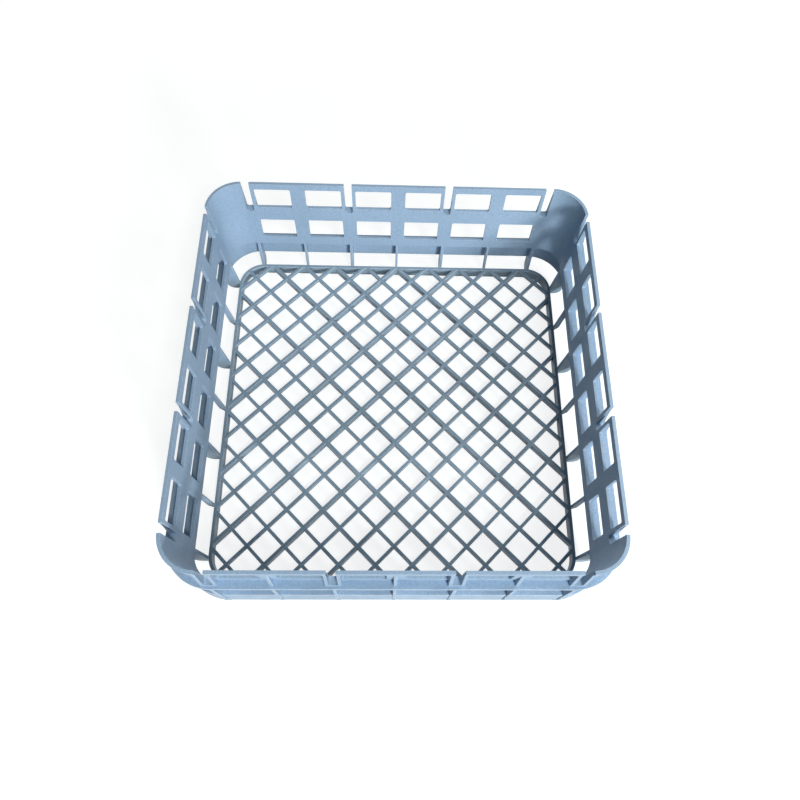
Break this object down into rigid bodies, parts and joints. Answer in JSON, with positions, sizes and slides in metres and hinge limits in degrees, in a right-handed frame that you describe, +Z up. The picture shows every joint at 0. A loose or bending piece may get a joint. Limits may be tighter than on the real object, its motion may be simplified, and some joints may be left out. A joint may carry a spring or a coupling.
{
  "type": "dishwasher rack",
  "caption": "Square open moulded basket for washing glasses, with leaning windowed walls, rim slits, outer ledges and a hanging skirt over a diagonal lattice floor.",
  "frame": {"origin": "middle of the base, on the plane the basket stands on", "axes": "+Z up out of the open top, +Y towards the back wall, +X to the right; the picture looks from -Y and above"},
  "size_m": [0.4, 0.4, 0.15],
  "materials": {
    "plastic": "matte moulded blue-grey polypropylene"
  },
  "bodies": {
    "root": {"basket": "plastic"}
  },
  "joints": []
}
